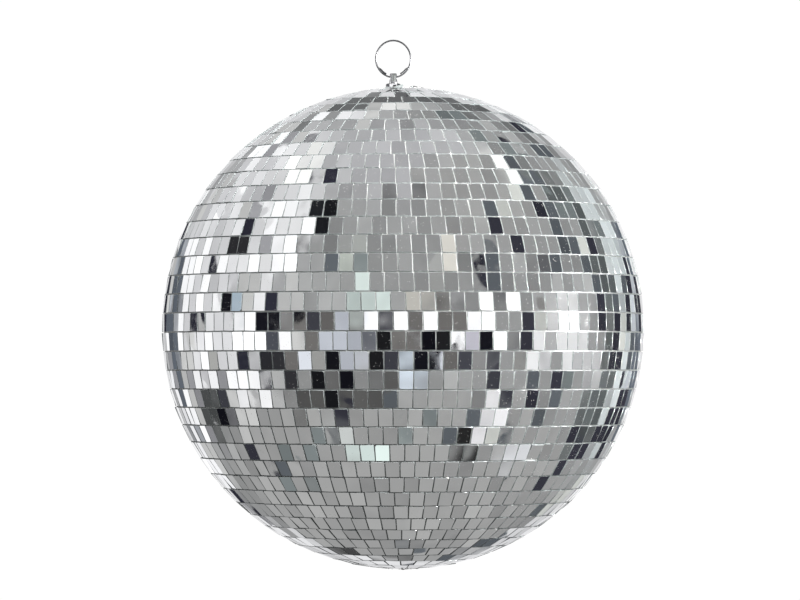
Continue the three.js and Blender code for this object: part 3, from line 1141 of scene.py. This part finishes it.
class MIRRORBALL_OT_nut_and_washer(bpy.types.Operator):
    """Make the thin nut and the washer that clamp the post"""

    bl_idname = "mirrorball.nut_and_washer"
    bl_label = "Nut and Washer"

    def execute(self, context):
        axis = axis_of("eye_post")
        self.make_nut(axis)
        self.make_washer(axis)
        return {"FINISHED"}

    def make_nut(self, axis):
        low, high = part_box("top_nut")
        flats = (high.y - low.y) / 2
        crown, slope = flats * 0.94, math.tan(math.radians(28.0))
        bore = half_width("eye_post") + 0.06 * MM
        mouth, sunk = bore + 0.29 * MM, 0.3 * MM

        def wall(height, sign):
            """A hexagon's rim with corners along X, cut back at the corners."""
            ring = []
            for i in range(NUT_SIDES):
                turn = math.tau * i / NUT_SIDES
                radius = flats / math.cos(turn % math.radians(60.0) - math.radians(30.0))
                drop = max(0.0, radius - crown) * slope
                ring.append(spot(axis, radius, turn, height - sign * drop))
            return ring

        under = ((bore, low.z + sunk), (mouth, low.z), (crown, low.z))
        over = ((crown, high.z), (mouth, high.z), (bore, high.z - sunk))
        rings = [
            *turned(under, NUT_SIDES, axis),
            wall(low.z, -1),
            wall(high.z, 1),
            *turned(over, NUT_SIDES, axis),
        ]
        nut = skinned("thin_hex_nut", rings, plated_finish(), closed=True)
        soften(nut, 25.0)
        fix(nut, BALL_BODY, PLATED_SLOT, "top_nut")

    def make_washer(self, axis):
        low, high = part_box("top_washer")
        outer, inner = half_width("top_washer"), half_width("eye_post") + 0.15 * MM
        thick, rolled = high.z - low.z, 0.4 * MM
        profile = [(inner, low.z + 0.1 * thick), (inner + 0.1 * MM, low.z),
                   (outer - 0.08 * MM, low.z), (outer, low.z + 0.12 * thick)]
        for degrees in (0, 22, 45, 67, 90):
            rise = math.radians(degrees)
            radius = outer - rolled * (1 - math.cos(rise))
            profile.append((radius, high.z - rolled * (1 - math.sin(rise))))
        profile += [(inner + 0.25 * MM, high.z), (inner, high.z - 0.2 * MM)]
        rings = turned(profile, WASHER_SIDES, axis)
        washer = skinned("rolled_edge_washer", rings, plated_finish(), closed=True)
        soften(washer)
        fix(washer, BALL_BODY, PLATED_SLOT, "top_washer")


class MIRRORBALL_OT_inner_hardware(bpy.types.Operator):
    """Give the parts inside the ball their finishes"""

    bl_idname = "mirrorball.inner_hardware"
    bl_label = "Inner Hardware"

    def execute(self, context):
        for name, finish in (
            ("load_plate", zinc_finish()),
            ("spring_washer", zinc_finish()),
            ("lock_nut", zinc_finish()),
            ("joining_hoop", plastic_finish()),
        ):
            part = frame["nodes"][name]
            if not part.material_slots:
                part.data.materials.append(finish)
            for slot in part.material_slots:
                slot.material = finish
        return {"FINISHED"}


# ---- Split ring ----------------------------------------------------------------------------------


class MIRRORBALL_OT_split_ring(bpy.types.Operator):
    """Wind the split ring through the post's eye"""

    bl_idname = "mirrorball.split_ring"
    bl_label = "Split Ring"

    END, TUCK, SPREAD = 26.0, 50.0, 64.0  # degrees from the lowest point
    WOUND = 720.0  # two turns
    TUCK_DEPTH = 1.05 * MM
    STEPS, SIDES = 300, 20
    SOFT_END = 0.12 * MM

    def execute(self, context):
        wire = context.scene.fixing_sizes.wire
        low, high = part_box("split_ring")
        centre = (low + high) / 2
        half = (high - low) / 2 - Vector((wire, wire, wire))
        wound = self.WOUND - 2 * self.END
        path = [
            self.point(centre, half, self.END + wound * i / self.STEPS)
            for i in range(self.STEPS + 1)
        ]
        rings = []
        for i, here in enumerate(path):
            along = path[min(i + 1, self.STEPS)] - path[max(i - 1, 0)]
            along.normalize()
            across = along.cross(Vector((0.0, 1.0, 0.0))).normalized()
            upright = along.cross(across)
            turns = [math.tau * k / self.SIDES for k in range(self.SIDES)]
            rings.append([
                here + (across * math.cos(turn) + upright * math.sin(turn)) * wire
                for turn in turns
            ])
        ends = (self.eased(path[0], rings[0]), self.eased(path[-1], rings[-1]))
        rings = [[path[0]], ends[0], *rings[1:-1], ends[1], [path[-1]]]
        ring = skinned("wound_split_ring", rings, wire_finish())
        bpy.context.view_layer.update()
        soften(ring, 40.0)
        fix(ring, RING_BODY, RING_SLOT, "split_ring")
        return {"FINISHED"}

    def point(self, centre, half, degrees):
        """A point of the wire's middle line: the ends tuck in, and the turns cross at the top."""
        from_end = min(degrees, self.WOUND - degrees)
        part = max(0.0, min(1.0, (from_end - self.TUCK) / (self.SPREAD - self.TUCK)))
        tucked = self.TUCK_DEPTH * (1.0 - part * part * (3.0 - 2.0 * part))
        sway = max(-1.0, min(1.0, (degrees - self.WOUND / 2) / self.SPREAD))
        turn = math.radians(degrees)
        return centre + Vector((
            (half.x - tucked) * math.sin(turn),
            half.y * math.sin(sway * math.pi / 2),
            -(half.z - tucked) * math.cos(turn),
        ))

    def eased(self, tip, ring):
        """The ring of points at a cut end, drawn in a little."""
        return [point + (tip - point).normalized() * self.SOFT_END for point in ring]


# ---- Stage ---------------------------------------------------------------------------------------

# Soft panels, walls and things in the studio, as the mirrors see them: name, azimuth, elevation,
# half width, half height, lean, softness of the edges (degrees), colour, strength. Azimuth 0 is
# towards the camera and grows to the right.
SURROUNDINGS = (
    ("ceiling", 0, 78, 180, 14, 0, 10, (0.98, 0.98, 1.0), 0.38),
    ("right ceiling", 66, 58, 44, 22, 0, 9, (1.0, 1.0, 0.98), 0.28),
    ("floor", 0, -66, 180, 34, 0, 8, (1.0, 1.0, 0.98), 0.29),
    ("left window wall", -108, 22, 46, 40, 0, 9, (0.99, 0.99, 1.0), 0.57),
    ("left window glow", -78, 36, 13, 22, 0, 7, (1.0, 1.0, 1.0), 0.66),
    ("left ceiling lamp", -111, 56, 14, 7, 8, 5, (1.0, 1.0, 0.96), 0.9),
    ("backdrop", 180, 0, 19, 32, 0, 3, (1.0, 1.0, 1.0), 0.62),
    ("backdrop shade", 180, 37, 28, 6, 0, 4, (0.98, 1.0, 1.0), 0.13),
    ("backdrop lamp", -173, 49, 9, 4, 0, 2, (1.0, 1.0, 0.97), 0.62),
    ("under the backdrop", -174, -36, 7, 3, 0, 1, (1.0, 1.0, 1.0), 0.05),
    ("left stand", -148, -2, 11, 14, 0, 2, (0.75, 0.85, 1.0), 0.125),
    ("left stand gap", -150, -2, 1.6, 14, 3, 1, (0.9, 0.95, 1.0), 0.5),
    ("right wall", 137, 4, 11, 26, 0, 3, (0.93, 1.0, 1.0), 0.55),
    ("right stand", 151, 1, 9, 12, 0, 2, (0.75, 0.85, 1.0), 0.14),
    ("right stand gap", 147, 1, 1.6, 12, -3, 1, (0.9, 0.95, 1.0), 0.5),
    ("right curtain", 119, 7, 7, 42, 0, 3, (0.90, 1.0, 1.0), 0.10),
    ("left bench", -86, -26, 20, 6, 4, 3, (1.0, 1.0, 0.98), 0.52),
    ("left stool", -121, -22, 8, 6, 10, 1.5, (0.95, 1.0, 1.0), 0.06),
    ("dark table", -34, -32, 28, 7, 0, 3, (1.0, 0.99, 0.96), 0.085),
    ("pale sheet", -26, -6, 10, 11, 0, 1.5, (0.87, 0.91, 1.0), 0.42),
    ("case 1", -42, -24, 4.5, 8, 0, 0.8, (0.8, 0.85, 1.0), 0.01),
    ("case 2", -10, -8, 4.5, 10, 0, 0.8, (0.9, 0.9, 1.0), 0.01),
    ("case 3", -61, -17, 7, 4, 0, 1, (0.9, 0.9, 1.0), 0.025),
    ("case 4", -60, -4, 6, 3.5, 0, 1, (0.8, 0.85, 1.0), 0.08),
    ("case 5", 20, -6, 5, 4, 0, 1, (0.9, 0.9, 1.0), 0.015),
    ("case 6", 51, -10, 6, 4.5, 0, 1, (0.8, 0.85, 1.0), 0.03),
    ("blue strip", 4, -21, 3.5, 6, -12, 1.2, (0.82, 0.91, 1.0), 0.72),
    ("violet panel", 32, -9, 5, 5, 0, 1.2, (0.92, 0.9, 1.0), 0.52),
    ("pale pole", 67, -9, 3.5, 7, 0, 1, (1.0, 1.0, 1.0), 0.66),
    ("pale shelf", 100, -10, 10, 4, 0, 1.5, (1.0, 1.0, 1.0), 0.55),
    ("softbox", -61, 38, 7, 14, -8, 1.5, (1.0, 1.0, 1.0), 1.1),
    ("softbox arm", -52, 45, 2.8, 12, -16, 0.6, (0.8, 0.85, 1.0), 0.012),
    ("softbox foot", -61, 53, 8, 2.4, -8, 0.8, (0.8, 0.85, 1.0), 0.015),
    ("beam 1", -15, 62, 3, 9, 20, 1.5, (1.0, 1.0, 1.0), 0.10),
    ("beam 2", 15, 64, 3, 5, -10, 1.5, (1.0, 1.0, 1.0), 0.10),
    ("small hook", -93, 27, 11, 2.2, 12, 0.6, (0.9, 0.9, 1.0), 0.02),
    ("blue mark", -88, 6, 3.5, 2, 0, 1.6, (0.55, 0.8, 1.0), 0.42),
    ("right strip", 107, 54, 13, 3, 10, 1.5, (1.0, 1.0, 0.96), 1.0),
    ("right strip 2", 127, 65, 7, 3, 10, 1.5, (1.0, 1.0, 0.96), 0.8),
    ("left glow", -80, -4, 9, 6, 0, 2, (1.0, 1.0, 1.0), 1.3),
    ("front opening", 0, 4, 4, 4, 0, 1, (1.0, 1.0, 1.0), 1.2),
    ("window pane 1", 27, 4, 3.4, 6, 0, 0.8, (0.92, 0.97, 1.0), 1.1),
    ("window pane 2", 41, 7, 4.5, 9, 0, 0.8, (1.0, 1.0, 1.0), 1.2),
    ("table cloth", -24, -60, 18, 6, 4, 2, (0.87, 1.0, 0.95), 0.62),
    ("table cloth 2", -40, -47, 10, 4, 0, 2, (0.95, 1.0, 0.97), 0.5),
    ("floor mark", -85, -52, 6, 4, 10, 1.5, (1.0, 1.0, 1.0), 0.1),
    ("box 1", 52, -42, 11, 10, 8, 1.5, (1.0, 0.99, 1.0), 0.62),
    ("box 2", 86, -49, 8, 7, -10, 2, (0.97, 0.98, 1.0), 0.62),
    ("bag", 45, -55, 6, 4, 15, 1, (1.0, 1.0, 1.0), 0.015),
    ("plant", 56, 12, 3.5, 5, 0, 1.2, (0.55, 1.0, 0.5), 0.42),
    ("beige card", 27, 35, 5, 5, 10, 1.5, (1.0, 0.97, 0.88), 0.6),
    ("beige card 2", 8, 14, 5, 4, 0, 1.2, (1.0, 0.97, 0.88), 0.5),
    ("pale door", -27, 30, 5, 6, 0, 2, (0.93, 1.0, 0.9), 0.45),
    ("pale door 2", -17, 12, 10, 4, 0, 1.5, (0.88, 1.0, 0.95), 0.56),
    ("lamp glow", 84, 2, 11, 9, 0, 8, (1.0, 1.0, 1.0), 0.75),
)

# What the things in a heap look like: where each tone starts, from 0 to 1, and its colour.
BLACK_AND_PALE = (
    (0.0, (0.006, 0.006, 0.009)), (0.26, (0.045, 0.046, 0.055)), (0.42, (0.13, 0.125, 0.12)),
    (0.66, (0.27, 0.27, 0.26)), (0.86, (0.56, 0.58, 0.62)), (0.94, (1.0, 1.0, 1.0)),
)
MOSTLY_BRIGHT = (
    (0.0, (0.02, 0.02, 0.03)), (0.12, (0.26, 0.26, 0.27)), (0.34, (0.46, 0.46, 0.45)),
    (0.56, (0.82, 0.82, 0.82)), (1.0, (1.0, 1.0, 1.0)),
)
MOSTLY_DARK = (
    (0.0, (0.03, 0.03, 0.04)), (0.36, (0.09, 0.10, 0.11)), (0.66, (0.16, 0.18, 0.18)),
    (0.88, (0.50, 0.51, 0.48)), (1.0, (0.9, 0.9, 0.86)),
)

# Each heap: azimuth, elevation, half width and half height in degrees, share that shows, tones.
CLUTTER = (
    (-8, -7, 50, 15, 1.0, BLACK_AND_PALE),
    (0, -8, 118, 20, 0.2, BLACK_AND_PALE),
    (-108, 20, 58, 46, 0.5, MOSTLY_BRIGHT),
    (112, 12, 56, 46, 0.34, MOSTLY_DARK),
    (0, 30, 50, 22, 0.16, MOSTLY_DARK),
    (30, -42, 150, 14, 0.16, MOSTLY_DARK),
)

CLUTTER_AFTER = "dark table"  # the cards up to this one stand behind the clutter
CELL = (6.5, 9.0)  # width and height of one thing in a heap, in degrees
CELL_SHIFT = 400.0  # keeps the patterns of two heaps apart
WALL_PATCH = (24.0, 18.0)  # degrees
WALL_TONES = ((0.18, 0.183, 0.18), (0.34, 0.343, 0.34))
UNEVEN_TONES = ((0.72, 0.72, 0.73), (1.22, 1.22, 1.22))
WHITE = (1.0, 1.0, 1.0)
REFLECTED_STRENGTH = 1.56
BACKDROP_STRENGTH = 1.02
FLOOR_RINGS = (0.5, 1.0, 2.0, 3.5, 6.0)  # metres
FLOOR_FADE = (1.5, 5.8)  # metres from the middle, where the floor starts and ends its fade

# Each light: azimuth and elevation in degrees, distance and size in metres, share of the key's
# power. The small lamp has a power of its own.
SOFT_LIGHTS = (
    ("key_light", 30.0, 40.0, 3.6, 1.2, 1.0),
    ("top_light", 20.0, 70.0, 2.2, 1.4, 0.03),
)
SMALL_LAMP = ("small_lamp", 86.0, 1.5, 2.2, 0.2)


@shared(
    "Studio Card",
    dict.fromkeys(
        ("Azimuth", "Elevation", "Across", "Up", "Half Width", "Half Height", "Lean", "Soft"), 0.0
    ),
    ("Mask",),
)
def card_group(group, given):
    """Mask of one soft-edged card, leaning by an angle, in the field of directions."""
    apart = calc(group, "SUBTRACT", given["Azimuth"], given["Across"])
    apart = calc(group, "WRAP", apart, 180.0, -180.0)
    above = calc(group, "SUBTRACT", given["Elevation"], given["Up"])
    sine = calc(group, "SINE", given["Lean"])
    cosine = calc(group, "COSINE", given["Lean"])
    wide = calc(
        group, "ADD", calc(group, "MULTIPLY", apart, cosine), calc(group, "MULTIPLY", above, sine)
    )
    tall = calc(
        group, "SUBTRACT", calc(group, "MULTIPLY", above, cosine),
        calc(group, "MULTIPLY", apart, sine),
    )
    masks = []
    for offset, half in ((wide, given["Half Width"]), (tall, given["Half Height"])):
        low = calc(group, "SUBTRACT", half, given["Soft"])
        high = calc(group, "ADD", half, given["Soft"])
        far = calc(group, "ABSOLUTE", offset)
        masks.append(remap(group, far, low, high, 1.0, 0.0, smooth=True))
    return [calc(group, "MULTIPLY", *masks)]


class Studio:
    """The studio round the ball, painted by direction in a node tree."""

    def __init__(self, tree):
        self.tree = tree
        self.way = node(tree, "TexCoord").outputs["Generated"]
        parts = node(tree, "SeparateXYZ", {0: self.way}).outputs
        back = calc(tree, "MULTIPLY", parts["Y"], -1.0)
        self.azimuth = calc(tree, "DEGREES", calc(tree, "ARCTAN2", parts["X"], back))
        self.elevation = calc(tree, "DEGREES", calc(tree, "ARCSINE", parts["Z"]))

    def paint(self):
        """Everything that the mirrors see."""
        seen = self.walls()
        for name, across, up, wide, tall, lean, soft, tint, strength in SURROUNDINGS:
            mask = self.card(across, up, wide, tall, lean, soft)
            seen = mix(self.tree, mask, seen, rgba(tint, strength))
            if name == CLUTTER_AFTER:
                seen = self.clutter(seen)
        return self.uneven(seen)

    def card(self, across, up, wide, tall, lean, soft):
        return place_group(
            self.tree, card_group(), Azimuth=self.azimuth, Elevation=self.elevation,
            Across=across, Up=up, Half_Width=wide, Half_Height=tall, Lean=math.radians(lean),
            Soft=soft,
        )["Mask"]

    def field(self, azimuth, step):
        """Texture coordinates in steps of that many degrees."""
        across = calc(self.tree, "DIVIDE", azimuth, step[0])
        up = calc(self.tree, "DIVIDE", self.elevation, step[1])
        return node(self.tree, "CombineXYZ", {0: across, 1: up}).outputs[0]

    def walls(self):
        """Grey walls with soft uneven light."""
        light = cloud(self.tree, self.field(self.azimuth, WALL_PATCH), 1.0, 2.0)
        level = remap(self.tree, light, 0.3, 0.7, 0.0, 1.0)
        return mix(self.tree, level, rgba(WALL_TONES[0]), rgba(WALL_TONES[1]))

    def clutter(self, seen):
        """Cases, stands and cloths near the horizon, as patches of even tone."""
        tree = self.tree
        for i, (across, up, wide, tall, shown, tones) in enumerate(CLUTTER):
            shifted = calc(tree, "ADD", self.azimuth, CELL_SHIFT * i)
            inputs = {"Vector": self.field(shifted, CELL), "Scale": 1.0, "Randomness": 0.8}
            cells = node(tree, "TexVoronoi", inputs, voronoi_dimensions="2D").outputs["Color"]
            chance = node(tree, "SeparateColor", {0: cells}).outputs
            ramp = node(tree, "ValToRGB", {0: chance[0]})
            ramp.color_ramp.interpolation = "CONSTANT"
            elements = ramp.color_ramp.elements
            for element, (position, tint) in zip(elements, (tones[0], tones[-1])):
                element.position, element.color = position, rgba(tint)
            for position, tint in tones[1:-1]:
                elements.new(position).color = rgba(tint)
            mask = self.card(across, up, wide, tall, 0, 1.5)
            if shown < 1.0:
                kept = remap(tree, chance[1], 1.0 - shown, 1.01 - shown, 0.0, 1.0)
                mask = calc(tree, "MULTIPLY", mask, kept)
            seen = mix(tree, mask, seen, ramp.outputs[0])
        return seen

    def uneven(self, seen):
        """Folds, seams and shadows too small to list: the light varies a little everywhere."""
        folds = cloud(self.tree, self.way, 7.0, 3.0, 0.6)
        level = remap(self.tree, folds, 0.32, 0.68, 0.0, 1.0)
        shade = mix(self.tree, level, rgba(UNEVEN_TONES[0]), rgba(UNEVEN_TONES[1]))
        return mix(self.tree, 1.0, seen, shade, blend="MULTIPLY")


class MIRRORBALL_OT_stage(bpy.types.Operator):
    """Set up the floor, the studio round the ball, the lights and the camera"""

    bl_idname = "mirrorball.stage"
    bl_label = "Stage"

    def execute(self, context):
        settings = context.scene.stage_settings
        ball = Ball(context.scene.mirror_sizes.glass)
        self.make_floor(context, ball, settings)
        self.make_studio(context, settings)
        self.make_lights(context, ball, settings)
        self.make_camera(context, ball, settings)
        view = context.scene.view_settings
        view.view_transform = "Standard"
        view.look = "None"
        return {"FINISHED"}

    def make_camera(self, context, ball, settings):
        data = bpy.data.cameras.new("stage_camera")
        data.lens = settings.lens
        data.clip_end = 60.0
        camera = bpy.data.objects.new("stage_camera", data)
        context.scene.collection.objects.link(camera)
        camera.location = ball.centre + Vector((0.0, -settings.distance, -settings.drop))
        aim = ball.centre + Vector((-settings.aim_left, 0.0, settings.aim_up))
        camera.rotation_euler = (aim - camera.location).to_track_quat("-Z", "Y").to_euler()
        context.scene.camera = camera

    def make_floor(self, context, ball, settings):
        """A pale floor whose rim fades into the backdrop."""
        height = ball.centre.z - ball.radius - settings.floor_drop
        profile = [(radius, height) for radius in (0.0, *FLOOR_RINGS)]
        rings = [ring[::-1] for ring in turned(profile, 64, ball.centre)]
        floor = skinned(
            "stage_floor", rings, self.floor_finish(context.scene.finish_colours, ball)
        )
        floor.visible_glossy = False
        floor.visible_diffuse = False
        floor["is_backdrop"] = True

    def floor_finish(self, colours, ball):
        """A floor that mostly gives its own even light, and is clear past its fade."""
        material, tree, shader = new_material("Studio Floor")
        tone = place_group(tree, grain_group(), Scale=60.0, Patch_Scale=1.5)["Tone"]
        fill(tree, shader, {
            "Base Color": mix(tree, tone, rgba(colours.floor, 0.28), rgba(colours.floor, 0.3)),
            "Emission Color": mix(tree, tone, rgba(colours.floor, 0.98), rgba(colours.floor)),
            "Roughness": 0.8,
            "Emission Strength": 0.9,
        })
        middle = (ball.centre.x, ball.centre.y, 0.0)
        apart = node(tree, "VectorMath", {0: own_place(tree), 1: middle}, operation="SUBTRACT")
        inputs = {0: apart.outputs[0], 1: (1.0, 1.0, 0.0)}
        flat = node(tree, "VectorMath", inputs, operation="MULTIPLY")
        reach = node(tree, "VectorMath", {0: flat.outputs[0]}, operation="LENGTH").outputs["Value"]
        fade = remap(tree, reach, *FLOOR_FADE, 0.0, 1.0, smooth=True)
        clear = node(tree, "BsdfTransparent").outputs[0]
        blend = node(tree, "MixShader", {0: fade, 1: shader.outputs[0], 2: clear}).outputs[0]
        fill(tree, tree.nodes["Material Output"], {"Surface": blend})
        return material

    def make_studio(self, context, settings):
        """The studio as the mirrors see it, a white backdrop for the camera and an even fill."""
        world = bpy.data.worlds.new("Studio")
        world.use_nodes = True
        tree = world.node_tree
        tree.nodes.clear()
        studio = Studio(tree)

        def light(tint, strength):
            return node(tree, "Background", {"Color": tint, "Strength": strength}).outputs[0]

        reflected = light(studio.paint(), REFLECTED_STRENGTH)
        dim, full = 0.3 * settings.fill, settings.fill
        even = light(rgba(WHITE), remap(tree, studio.elevation, -40.0, 30.0, dim, full))
        paths = node(tree, "LightPath").outputs
        inputs = {0: paths["Is Diffuse Ray"], 1: reflected, 2: even}
        lit = node(tree, "MixShader", inputs).outputs[0]
        backdrop = light(rgba(WHITE), BACKDROP_STRENGTH)
        whole = node(tree, "MixShader", {0: paths["Is Camera Ray"], 1: lit, 2: backdrop})
        node(tree, "OutputWorld", {"Surface": whole.outputs[0]})
        context.scene.world = world

    def make_lights(self, context, ball, settings):
        """A large key at the right front and a soft light above, both unseen by the mirrors, and a
        small lamp at the right that only the mirrors and the metal see."""
        for *light, share_of_key in SOFT_LIGHTS:
            lamp = self.add_light(context, ball, settings.key * share_of_key, *light)
            lamp.visible_glossy = False
        lamp = self.add_light(context, ball, settings.lamp, *SMALL_LAMP)
        lamp.visible_diffuse = False

    def add_light(self, context, ball, power, name, azimuth, elevation, distance, size):
        data = bpy.data.lights.new(name, "AREA")
        data.shape = "DISK"
        data.size = size
        data.energy = power
        lamp = bpy.data.objects.new(name, data)
        context.scene.collection.objects.link(lamp)
        way = ball.out(math.radians(azimuth), math.radians(elevation))
        lamp.location = ball.centre + way * distance
        lamp.rotation_euler = way.to_track_quat("Z", "Y").to_euler()
        lamp.visible_camera = False
        return lamp


# ---- Panel and registration ----------------------------------------------------------------------


class MIRRORBALL_PT_sidebar(bpy.types.Panel):
    """Sizes, colours and the operators that build the ball"""

    bl_idname = "MIRRORBALL_PT_sidebar"
    bl_label = "Mirror Ball"
    bl_space_type = "VIEW_3D"
    bl_region_type = "UI"
    bl_category = "Mirror Ball"

    def draw(self, context):
        for operator in OPERATORS:
            self.layout.operator(operator.bl_idname)
        for name, _group in SETTINGS:
            box = self.layout.box()
            settings = getattr(context.scene, name)
            for key in settings.__annotations__:
                box.prop(settings, key)


SETTINGS = (
    ("mirror_sizes", MirrorSizes),
    ("fixing_sizes", FixingSizes),
    ("finish_colours", FinishColours),
    ("stage_settings", StageSettings),
)

OPERATORS = (
    MIRRORBALL_OT_stage,
    MIRRORBALL_OT_shells,
    MIRRORBALL_OT_mirror_rows,
    MIRRORBALL_OT_closing_mirrors,
    MIRRORBALL_OT_glue_beads,
    MIRRORBALL_OT_eye_post,
    MIRRORBALL_OT_nut_and_washer,
    MIRRORBALL_OT_inner_hardware,
    MIRRORBALL_OT_split_ring,
)


def register():
    for _name, group in SETTINGS:
        bpy.utils.register_class(group)
    for name, group in SETTINGS:
        setattr(bpy.types.Scene, name, PointerProperty(type=group))
    for operator in OPERATORS:
        bpy.utils.register_class(operator)
    bpy.utils.register_class(MIRRORBALL_PT_sidebar)


def unregister():
    bpy.utils.unregister_class(MIRRORBALL_PT_sidebar)
    for operator in reversed(OPERATORS):
        bpy.utils.unregister_class(operator)
    for name, group in reversed(SETTINGS):
        delattr(bpy.types.Scene, name)
        bpy.utils.unregister_class(group)


def main():
    """Builds everything."""
    register()
    bpy.ops.mirrorball.stage()
    bpy.ops.mirrorball.shells()
    bpy.ops.mirrorball.mirror_rows()
    bpy.ops.mirrorball.closing_mirrors()
    bpy.ops.mirrorball.glue_beads()
    bpy.ops.mirrorball.eye_post()
    bpy.ops.mirrorball.nut_and_washer()
    bpy.ops.mirrorball.inner_hardware()
    bpy.ops.mirrorball.split_ring()
    boxes = {"cad": CAD_BOX, "visual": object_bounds()}
    {name: [list(corner) for corner in box] for name, box in boxes.items()}


if __name__ == "__main__":
    main()
